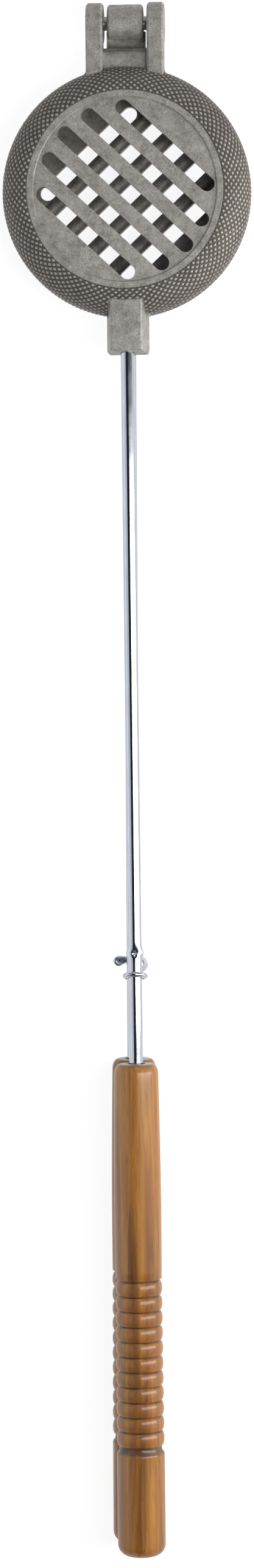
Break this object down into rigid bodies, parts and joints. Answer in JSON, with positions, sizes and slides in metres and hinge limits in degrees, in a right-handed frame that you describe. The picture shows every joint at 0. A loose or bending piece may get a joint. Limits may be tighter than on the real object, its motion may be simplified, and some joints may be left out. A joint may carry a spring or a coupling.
{
  "type": "campfire burger iron",
  "caption": "Two round slotted cast-iron cups hinged at the far end close on a patty, each on a steel rod with a turned wooden handle, held shut by a bent wire latch.",
  "frame": {"origin": "centre of the back cup's grid, on the plane of its lip", "axes": "+Y from the handles to the hinge, +Z from the back cup's lip up through both cups, +X to the right seen from the front cup"},
  "size_m": [0.1126, 0.7113, 0.0478],
  "materials": {
    "cast_iron": "bare grey sand casting, slightly shiny on its high faces",
    "pin_steel": "plain steel pin",
    "plated_steel": "bright plated rod",
    "wire_steel": "bright plated wire",
    "varnished_wood": "golden varnished hardwood"
  },
  "bodies": {
    "back_iron": {"back_cup": "cast_iron", "back_rod": "plated_steel", "back_handle": "varnished_wood"},
    "front_iron": {"front_cup": "cast_iron", "hinge_pin": "pin_steel", "front_rod": "plated_steel", "front_handle": "varnished_wood"},
    "latch": {"latch_wire": "wire_steel"}
  },
  "joints": [
    {"name": "iron_hinge", "type": "hinge", "parent": "back_iron", "child": "front_iron", "pos_m": [0, 0.0769, 0.016], "axis": [-1, 0, 0], "range_deg": [0, 180]},
    {"name": "latch_turn", "type": "hinge", "parent": "front_iron", "child": "latch", "pos_m": [0.00099, -0.35798, 0.02618], "axis": [0.0035, -0.9999, 0.0105], "range_deg": [0, 300]}
  ]
}
